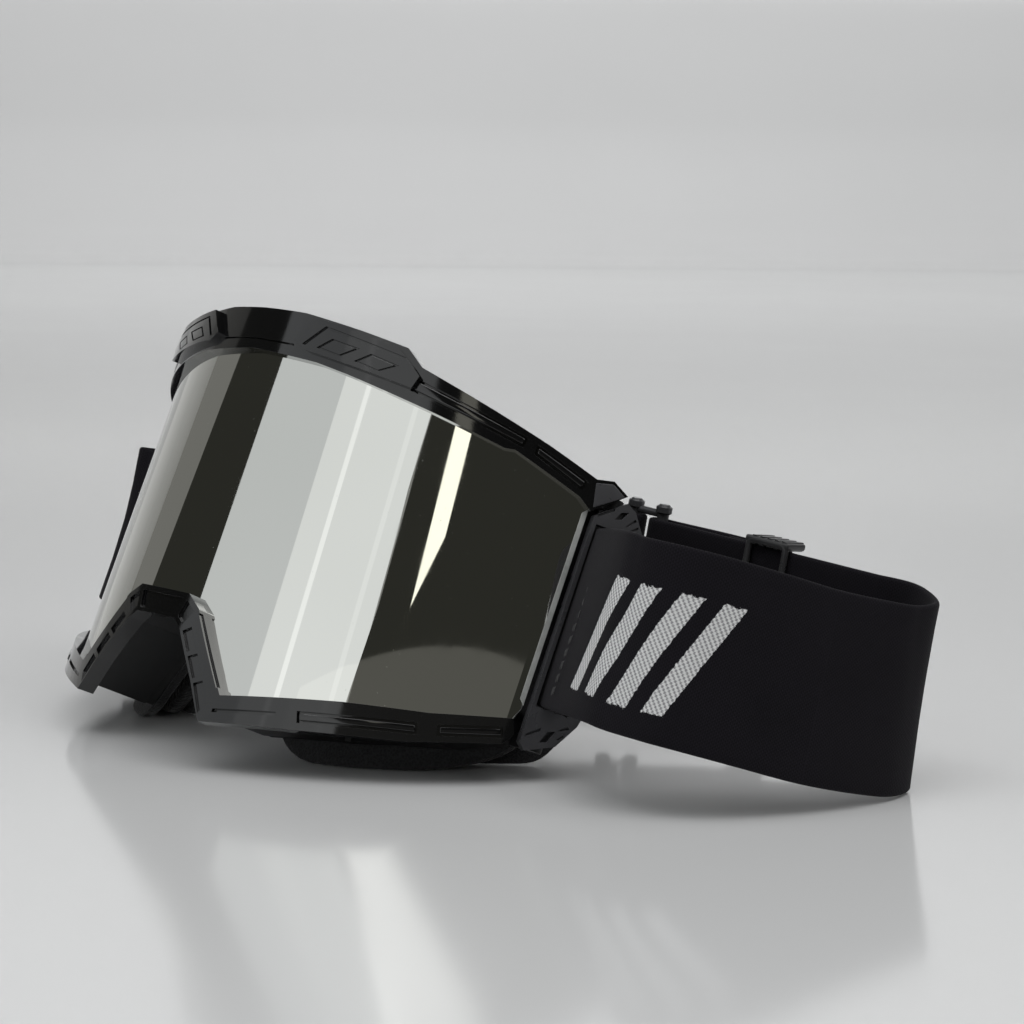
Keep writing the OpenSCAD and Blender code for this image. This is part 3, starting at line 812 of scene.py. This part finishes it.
END_TURN = math.radians(101)    # direction in which the webbing leaves an outrigger's bar
FOLD_R = 1.62                   # inside radius of its fold round the bar
SEWN_LEFT, SEWN_RIGHT = 13, 10  # lengths of the sewn inner layers
LEAN_UP = Vector((0, LEAN_S, LEAN_C))


def folded(place, run, reach):
    """Webbing folded round an outrigger's bar: the run, led by the fold and its sewn inner layer."""
    mid_r = FOLD_R + WEB_T / 2
    c, s = math.cos(END_TURN), math.sin(END_TURN)

    def at(x, y):
        return place((x * c - y * s, BAR_V + x * s + y * c, STRAP_MID_Z)) / MM + MIDDLE

    arc = [at(mid_r * math.cos(a), mid_r * math.sin(a))
           for a in (math.radians(-90 - 15 * k) for k in range(0, 13))]
    outer = curve([(arc[-2], LEAN_UP), (arc[-1], LEAN_UP)] + run, FINE)[FINE:]
    inner, gone = [], 0.0
    gap = WEB_T + 0.12
    wide = 2 * mid_r - gap
    side = (arc[0] - arc[-1]).normalized()
    for (p, up), (q, _) in zip(outer, outer[1:]):
        gone += (q - p).length
        if gone > reach:
            break
        t = (q - p).normalized()
        off = t.cross(up).normalized()
        off *= math.copysign(1, off.dot(side))
        ease = math.exp(-(gone / 3.2) ** 2)
        inner.append((q + off * (gap + wide * ease), up))
    return inner[::-1] + [(q, LEAN_UP) for q in arc] + outer[1:]


SEAM = 6        # the near run's station where the strap's first piece hands over to the second
FINE = 8        # steps of a curve between two stations


def round_ring_bar(x, towards):
    """The half turn of webbing round one of the ring's bars."""
    return [far_station(x + towards * RING_Y * math.cos(a), RING_Y * (1 + math.sin(a)))
            for a in (math.radians(d) for d in range(-80, 81, 10))] + [far_station(x, 2 * RING_Y)]


def strap():
    """The long strap: its first piece, folded round the left outrigger's bar, is left unattached; the second
    goes with the goggles.
    """
    run = [station(s) for s in NEAR_RUN] + [far_station(78, 0), far_station(68, 0)]
    path = folded(on_plate(1), run[1:], SEWN_LEFT)
    cut = len(path) - 1 - (len(run) - 1 - SEAM) * FINE
    mat = webbing_material("webbing_motif", motif=True)
    first = band(path[:cut + 1], "strap_near_run", mat, after=path[cut + 1])
    stands_for(first, None, "webbing", "strap_end_left")
    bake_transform(first)
    rest = path[cut:] + [far_station(x, 0) for x in range(64, 0, -4)] + [far_station(0, 0)]
    rest += round_ring_bar(0, -1)
    second = band(rest, "strap_far_run", WEB, before=path[cut - 1])
    stands_for(second, "goggles", "webbing", "strap_main")


def tail():
    """The doubled end of the long strap, from the ring to its fold round the adjuster's bar."""
    path = [far_station(0, 2 * RING_Y)]
    r = GLIDE_BAR_R + 0.12 + WEB_T / 2
    for k in range(1, 11):
        t = k / 10
        ease = t * t * (3 - 2 * t)
        y = 2 * RING_Y + (GLIDE_Y + r - 2 * RING_Y) * ease
        hump = 1.6 * math.sin(math.pi * t) ** 2
        path.append(far_station(GLIDE_X * t, y + hump))
    for k in range(1, 12):
        a = math.pi / 2 - math.pi * k / 12
        path.append(far_station(GLIDE_X + r * math.cos(a), GLIDE_Y + r * math.sin(a)))
    for k in range(1, 9):
        t = k / 8
        ease = t * t * (3 - 2 * t)
        y = GLIDE_Y - r + (1.5 * WEB_T + 0.5 - GLIDE_Y + r) * ease
        path.append(far_station(GLIDE_X - 15 * t, y))
    obj = band(path, "strap_tail", WEB)
    stands_for(obj, None, "webbing", "glide_fold")
    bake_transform(obj)


def short_strap():
    """The short strap on the wearer's right, from its outrigger to the ring."""
    run = [station(s) for s in SHORT_RUN] + [far_station(-40, 0), far_station(-26, 0)]
    path = folded(on_plate(-1), run[1:], SEWN_RIGHT)
    path += [far_station(x, 0) for x in (-22, -18, -14, -RING_GAP)]
    path += round_ring_bar(-RING_GAP, 1)
    path += [far_station(x, y) for x, y in ((-13, 2 * RING_Y - 0.4), (-17, RING_Y + 1.4),
                                            (-21, WEB_T + 0.25), (-25, WEB_T + 0.12),
                                            (-30, WEB_T + 0.12))]
    obj = band(path, "strap_short_run", WEB)
    stands_for(obj, None, "webbing", "strap_short_right", "strap_end_right")
    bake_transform(obj)


STITCH, STITCH_GAP, THREAD_T = 2.1, 0.9, 0.42
# A stitch's rings: place along it, thickness.
STITCH_RINGS = ((-0.5, 0.35), (-0.36, 0.9), (0, 1.0), (0.36, 0.9), (0.5, 0.35))
STITCH_ROW_HALF = 20.5


def stitch_rows(name, rows):
    """Rows of sewn thread: short rounded stitches between pairs of points in metres."""
    bm = bmesh.new()
    for a, b, out in rows:
        along = b - a
        n = max(1, int(along.length / MM / (STITCH + STITCH_GAP)))
        t = along.normalized()
        side = out.cross(t).normalized()
        for k in range(n):
            mid = a + along * ((k + 0.5) / n)
            rings = []
            for f, w in STITCH_RINGS:
                c = mid + t * (STITCH * f * MM) + out * (0.16 * w * MM)
                rings.append([bm.verts.new(c + side * (x * MM) + out * (0.7 * y * MM))
                              for x, y in circle(THREAD_T * w / 2, 7)])
            tube(bm, rings)
    return finish_mesh(bm, name, THREAD, weighted=False)


def stitching():
    """The thread rows of the four sewn folds."""
    c, s = math.cos(END_TURN), math.sin(END_TURN)
    for (side, name), reach in zip(SIDES, (SEWN_LEFT, SEWN_RIGHT)):
        place = on_plate(side)
        rows = []
        for x in (reach * 0.72, reach * 0.9):
            for sign in (1, -1):
                y = sign * (WEB_T + 0.1)
                at = (x * c - y * s, BAR_V + x * s + y * c)
                low, high = (place((*at, STRAP_MID_Z + z)) for z in (-STITCH_ROW_HALF, STITCH_ROW_HALF))
                off = place((at[0] - sign * s, at[1] + sign * c, STRAP_MID_Z - STITCH_ROW_HALF)) - low
                rows.append((low, high, off.normalized()))
        obj = stitch_rows("thread_" + name, rows)
        stands_for(obj, "outrigger_" + name, "thread", "stitching_" + name)
    out = FAR @ Vector((0, 1, 0))
    outer, inner = (1.5 * WEB_T + 0.12, 1), (-WEB_T / 2, -1)
    over_glide = GLIDE_Y + GLIDE_BAR_R + 1.1 + WEB_T
    for name, body, places in (
            ("ring", "goggles", [(x, *face) for x in (-28, -23) for face in (outer, inner)]),
            ("glide", "adjuster", [(GLIDE_X - x, over_glide, 1) for x in (10.8, 13.5)])):
        rows = [(far_place((x, y, -STITCH_ROW_HALF)), far_place((x, y, STITCH_ROW_HALF)), out * sign)
                for x, y, sign in places]
        stands_for(stitch_rows("thread_" + name, rows), body, "thread", "stitching_" + name)


# ---------------------------------------------------------------- ring and adjuster

ROD_SIDES = 14
CORNER_STEPS = 6
RIDGES = 5


def rod_loop(bm, corners, r):
    """Adds a round rod along a closed polygon with rounded corners, in far-side coordinates."""
    round_r = 1.6
    path = []
    for i, corner in enumerate(corners):
        c = Vector(corner)
        p = c + (Vector(corners[i - 1]) - c).normalized() * round_r
        q = c + (Vector(corners[(i + 1) % len(corners)]) - c).normalized() * round_r
        for t in (k / CORNER_STEPS for k in range(CORNER_STEPS + 1)):
            path.append(p * (1 - t) ** 2 + c * 2 * t * (1 - t) + q * t ** 2)
    normal = Vector((0, 1, 0))
    rings = []
    for i, p in enumerate(path):
        side = (path[(i + 1) % len(path)] - path[i - 1]).normalized().cross(normal).normalized()
        rings.append([bm.verts.new(far_place(p + side * x + normal * y)) for x, y in circle(r, ROD_SIDES)])
    tube(bm, rings, closed=True)


def ring():
    """Two upright bars with knobs at their ends, joined by thin rails."""
    bm = bmesh.new()
    z = WEB_W / 2 + 0.3 + 0.9
    rod_loop(bm, [(0, RING_Y, z), (0, RING_Y, -z), (-RING_GAP, RING_Y, -z), (-RING_GAP, RING_Y, z)], 1.0)
    for x in (0, -RING_GAP):
        cylinder(bm, far_place, x, RING_Y, -z - 2.6, z + 2.6, BAR_R)
        for end in (-z - 2.2, z + 0.2):
            cylinder(bm, far_place, x, RING_Y, end, end + 2.0, 2.1)
    stands_for(finish_mesh(bm, "rounded_ring", SATIN), "goggles", "satin_plastic", "strap_ring")


def adjuster():
    """A glide with a front loop, a middle bar and two ridged end plates."""
    bm = bmesh.new()
    rail = WEB_W / 2 + 0.3 + 1.0
    h = GLIDE_HALF
    y0 = -WEB_T / 2 - 0.3 - 0.8
    low, high = GLIDE_X - h, GLIDE_X + h
    rod_loop(bm, [(low + 1, y0, rail), (low + 1, y0, -rail), (high - 1, y0, -rail), (high - 1, y0, rail)],
             0.85)
    for z in (rail - 0.9, -rail - 0.9):
        end = moulded([(low, z), (low, z + 1.8), (high, z + 1.8), (high, z)], y0 - 0.8,
                      GLIDE_Y + GLIDE_BAR_R, bevel=0.6, segments=3)
        for x in (low + 2 + k * 2.2 for k in range(RIDGES)):
            ridge = bmesh.new()
            prism(ridge, [(x, z - 0.25), (x, z + 2.05), (x + 1.1, z + 2.05), (x + 1.1, z - 0.25)],
                  y0 - 0.4, GLIDE_Y + GLIDE_BAR_R + 0.3)
            merge(end, ridge)
        merge(bm, moved(end, far_place))
    cylinder(bm, far_place, GLIDE_X, GLIDE_Y, -rail - 1, rail + 1, GLIDE_BAR_R)
    stands_for(finish_mesh(bm, "adjuster_glide", GREY), "adjuster", "satin_plastic", "tri_glide")


# ---------------------------------------------------------------- face foam

# Depths behind the face curve of the layers' bounds, then the ring's outlines of (x, z) points.
FACE_R = 96.0
FRAME_DEPTH, FLANGE_T = 18.0, 2.5
BASE_S = FRAME_DEPTH + FLANGE_T
MID_S = BASE_S + 4
FLEECE_S = MID_S + 10
BACK_S = FLEECE_S + 2
FOAM_OUT = [(0, 98), (38, 96.5), (58, 91), (70, 83), (75, 72), (77, 58), (77, 40), (76.5, 27),
            (74, 17), (68, 10), (58, 4), (48, -0.6), (41, -1.2), (34, -0.8), (29, 1.5), (26, 5),
            (16, 17), (10, 22.5), (0, 23.5)]
FOAM_IN = [(0, 84), (36, 81), (55, 76), (64, 68), (67, 55), (67, 40), (64, 28), (56, 20), (44, 15),
           (35, 16), (29, 22), (22, 31), (13, 37), (0, 38)]


def on_face(p):
    """(x, depth behind the face curve, z) of the flattened face side, in the row frame."""
    y = p[1] + FACE_R - math.sqrt(max(FACE_R ** 2 - p[0] ** 2, 1))
    q = leant(p[0], y, p[2])
    q.z = max(q.z, 0.0)
    return q


OUTLINE_POINTS = 120


def smooth_outline(half, n=4):
    """Closed smooth outline through a half outline and its mirror image, at even distances."""
    pts = [Vector((x, z, 0)) for x, z in whole(half)]
    dense = []
    m = len(pts)
    for i in range(m):
        near = [pts[k % m] for k in (i - 1, i, i + 1, i + 2)]
        dense += [between(*near, k / n) for k in range(n)]
    total = [0.0]
    for i in range(len(dense)):
        total.append(total[-1] + (dense[(i + 1) % len(dense)] - dense[i]).length)
    out, j = [], 0
    for k in range(OUTLINE_POINTS):
        want = total[-1] * k / OUTLINE_POINTS
        while total[j + 1] < want:
            j += 1
        f = (want - total[j]) / (total[j + 1] - total[j])
        out.append(dense[j].lerp(dense[(j + 1) % len(dense)], f))
    return out


def foam_ring(s0, s1, margin, corner):
    """A foam ring in flattened coordinates, its section rounded by the given corner radius."""
    outer, inner = smooth_outline(FOAM_OUT), smooth_outline(FOAM_IN)
    bm = bmesh.new()
    rings = []
    section = []
    for cx, cs, a0 in ((0, 0, 180), (0, 1, 90), (1, 1, 0), (1, 0, -90)):
        for k in range(4):
            a = math.radians(a0 - 30 * k)
            section.append((cx, cs, math.cos(a), math.sin(a)))
    for o, i in zip(outer, inner):
        across = i - o
        wide = across.length
        u = across / wide
        ring = []
        for cx, cs, ca, sa in section:
            d = margin + corner + cx * (wide - 2 * margin - 2 * corner) + corner * ca
            s = s0 + corner + cs * (s1 - s0 - 2 * corner) + corner * sa
            p = o + u * d
            ring.append(bm.verts.new((p.x, s, p.y)))
        rings.append(ring)
    tube(bm, rings, closed=True)
    return bm


PAD_CAP = 1.4        # the most that a vertex of the pad may move
PAD_VOXEL = 3.0
PAD_PRESSURE = 4.0
PAD_STIFFNESS = 30
PAD_MASS = 0.3
PAD_FRAMES = 20


def inflated(bm):
    """Blows the ring up a little with Cloth, at true size, and returns it flattened again."""
    for v in bm.verts:
        v.co *= MM
    obj = temp_object(bm)
    remesh = obj.modifiers.new("remesh", "REMESH")
    remesh.mode, remesh.voxel_size = "VOXEL", PAD_VOXEL * MM
    bm = applied(obj)
    obj = temp_object(bm)
    start = [v.co.copy() for v in obj.data.vertices]
    cloth = obj.modifiers.new("cloth", "CLOTH")
    cs = cloth.settings
    cs.use_pressure, cs.uniform_pressure_force = True, PAD_PRESSURE
    cs.effector_weights.gravity = 0
    cs.tension_stiffness = cs.compression_stiffness = PAD_STIFFNESS
    cs.mass = PAD_MASS
    cloth.point_cache.frame_start, cloth.point_cache.frame_end = 1, PAD_FRAMES
    scene = bpy.context.scene
    for f in range(1, PAD_FRAMES + 1):
        scene.frame_set(f)
        bpy.context.view_layer.update()
    bm = applied(obj)
    for v, at in zip(bm.verts, start):
        move = v.co - at
        if move.length > PAD_CAP * MM:
            v.co = at + move.normalized() * PAD_CAP * MM
    scene.frame_set(1)
    for v in bm.verts:
        v.co /= MM
    return bm


def smoothed(bm, times):
    for _ in range(times):
        bmesh.ops.smooth_vert(bm, verts=bm.verts, factor=0.5, use_axis_x=True, use_axis_y=True,
                              use_axis_z=True)
    return bm


def face_foam():
    """Three bonded layers; the thick middle one is blown up a little by simulation."""
    base = foam_ring(BASE_S, MID_S + 0.3, 0.3, 0.8)
    pad = foam_ring(MID_S + 0.1, FLEECE_S + 0.2, 1.3, 2.4)
    pad = smoothed(inflated(pad), 4)
    for v in pad.verts:
        v.co.y = min(v.co.y, FLEECE_S + 0.7)
    fleece = foam_ring(FLEECE_S - 0.2, BACK_S, 1.7, 1.0)
    for bm, name, slot_name, mat, node_name in (
            (base, "foam_base_layer", "foam", BASE_FOAM, "face_foam_base"),
            (pad, "foam_mid_layer", "foam", FOAM, "face_foam_mid"),
            (fleece, "fleece_layer", "fleece", FLEECE, "face_foam_fleece")):
        obj = finish_mesh(moved(bm, on_face), name, mat, sharp=60, weighted=False)
        sub = obj.modifiers.new("subdivision", "SUBSURF")
        sub.levels = sub.render_levels = 1
        stands_for(obj, "goggles", slot_name, node_name)


# ---------------------------------------------------------------- camera, light, floor

# The camera's place, its lens, then its bearing from -Y towards +X, height angle and tilt in degrees.
CAMERA_AT = (0.57143, -0.45859, 0.15267)
LENS_MM, SENSOR_MM = 102.64, 36
YAW, PITCH, ROLL = 49.09, 7.41, 0.48
TURN = Matrix.Rotation(math.radians(YAW), 3, "Z")


def facing(az, el, roll):
    """A frame whose Z points along a bearing and height angle, turned about it by the roll."""
    return (Matrix.Rotation(math.radians(az), 3, "Z") @ Matrix.Rotation(math.radians(90 - el), 3, "X")
            @ Matrix.Rotation(math.radians(roll), 3, "Z"))


def camera():
    """The photo's camera, solved from the frame's outline and its reflection on the table."""
    cam = bpy.data.objects.new("camera", bpy.data.cameras.new("camera"))
    cam.data.lens, cam.data.sensor_width = LENS_MM, SENSOR_MM
    cam.data.clip_start = 0.01
    cam.matrix_world = Matrix.Translation(CAMERA_AT) @ facing(YAW, PITCH, ROLL).to_4x4()
    bpy.context.scene.collection.objects.link(cam)
    bpy.context.scene.camera = cam


def panel(name, at, turned, size, radiance, colour):
    """A soft panel of even radiance in the X-Y plane of a turned frame, shining against its Z."""
    data = bpy.data.lights.new(name, "AREA")
    data.shape, data.size, data.size_y = "RECTANGLE", size[0], size[1]
    data.energy = radiance * math.pi * size[0] * size[1]
    data.color = colour
    obj = bpy.data.objects.new(name, data)
    obj.matrix_world = Matrix.Translation(at) @ turned.to_4x4()
    bpy.context.scene.collection.objects.link(obj)


LIGHT_AIM = Vector((0, -0.04, 0.05))
WHITE = (1.0, 1.0, 1.0)
# Name, bearing, height angle, distance, bearing and height angle of its own facing, roll, size,
# radiance, colour.
PANELS = [("strip", 36.5, 31, 1.0, (27, 44.5), 29, (0.075, 0.18), 1.4, (1.0, 0.98, 0.84)),
          ("low_wall", 40.5, 9.5, 1.5, (38, 18.5), -12, (1.9, 0.72), 0.075, (1.0, 0.98, 0.9)),
          ("tube", 35, 70, 1.1, (35, 70), 0, (0.9, 0.08), 3.0, WHITE),
          ("left_wall", -88, 14, 1.3, (-88, 14), 0, (0.75, 0.75), 0.16, (1.0, 0.99, 0.95)),
          ("overhead", 70, 78, 1.7, (70, 78), 0, (2.0, 1.4), 1.75, WHITE),
          ("side", 108, 38, 1.4, (108, 38), 0, (0.9, 0.9), 1.3, WHITE),
          ("back_rim", 160, 30, 1.5, (160, 30), 0, (1.6, 0.5), 0.8, WHITE)]
# The broad softbox: bearing, height angle, distance, facing and roll, then its brighter stretches.
SOFTBOX = (-8, 49, 1.02, (-37, -8.5), 20)
SOFTBOX_TALL = 1.9
# Name, place across the box, width, radiance, colour.
STRETCHES = [("softbox", 0, 1.15, 0.64, (0.95, 0.98, 1.0)),
             ("softbox_middle", 0.16, 0.83, 0.22, (1.0, 1.0, 0.97)),
             ("softbox_streak", -0.12, 0.03, 0.22, WHITE),
             ("softbox_edge", 0.3, 0.06, 0.08, WHITE)]


# The table's sweep: its front edge, where it bends up, the bend's radius and its top, in metres.
SWEEP_FRONT, SWEEP_BEND, SWEEP_R, SWEEP_TOP, SWEEP_HALF = -2.2, 2.6, 0.6, 3.0, 3.5
UNDER = 0.0003      # keeps the table's face just under the object
# The wash on the sheet behind: place in the turned frame, height angle, size and radiance.
WALL_WASH = ((0, 1.6, 1.9), 32, (3.0, 0.8), 5.2)


def table():
    """A pale glossy sheet that runs back and bends up behind the object."""
    m = Nodes("table")
    m.set(Base_Color=m.ramp(m.noise(1.2, 3), [(0.3, (0.72, 0.725, 0.73)), (0.7, (0.77, 0.775, 0.78))]),
          Roughness=m.span(m.noise(3, 3), 0.10, 0.16), Specular_IOR_Level=0.5)
    bm = bmesh.new()
    profile = [(SWEEP_FRONT, 0.0)]
    profile += [(SWEEP_BEND + SWEEP_R * math.sin(a), SWEEP_R - SWEEP_R * math.cos(a))
                for a in (math.radians(d) for d in range(0, 91, 10))]
    profile += [(SWEEP_BEND + SWEEP_R, SWEEP_TOP)]
    rows = [[bm.verts.new(TURN @ Vector((x, y, z - UNDER))) for x in (-SWEEP_HALF, SWEEP_HALF)]
            for y, z in profile]
    for a, b in zip(rows, rows[1:]):
        bm.faces.new((a[0], a[1], b[1], b[0]))
    floor = finish_mesh(bm, "table_top", m.mat, weighted=False)


def surroundings():
    """A dark room, so that the mirror shows only the panels."""
    world = bpy.data.worlds.new("studio")
    world.use_nodes = True
    background = world.node_tree.nodes["Background"]
    background.inputs["Color"].default_value = (0.80, 0.80, 0.68, 1)
    background.inputs["Strength"].default_value = 0.035
    bpy.context.scene.world = world
    bpy.context.scene.view_settings.view_transform = "Standard"


def lights():
    """The panels, the softbox with its brighter stretches and a wash on the sheet behind."""
    for name, az, el, far, face, roll, size, radiance, colour in PANELS:
        at = LIGHT_AIM + facing(az, el, 0) @ Vector((0, 0, far))
        panel(name, at, facing(*face, roll), size, radiance, colour)
    az, el, far, face, roll = SOFTBOX
    box = facing(*face, roll)
    at = LIGHT_AIM + facing(az, el, 0) @ Vector((0, 0, far))
    for k, (name, across, wide, radiance, colour) in enumerate(STRETCHES):
        panel(name, at + box @ Vector((across, 0, -0.01 * k)), box, (wide, SOFTBOX_TALL), radiance, colour)
    at, el, size, radiance = WALL_WASH
    panel("wall_wash", TURN @ Vector(at), facing(YAW, el, 0), size, radiance, WHITE)


lens()
lens_side_bevels()
brow()
corner_panels()
sill()
covers()
outriggers()
strap()
tail()
short_strap()
stitching()
ring()
adjuster()
face_foam()
camera()
table()
surroundings()
lights()
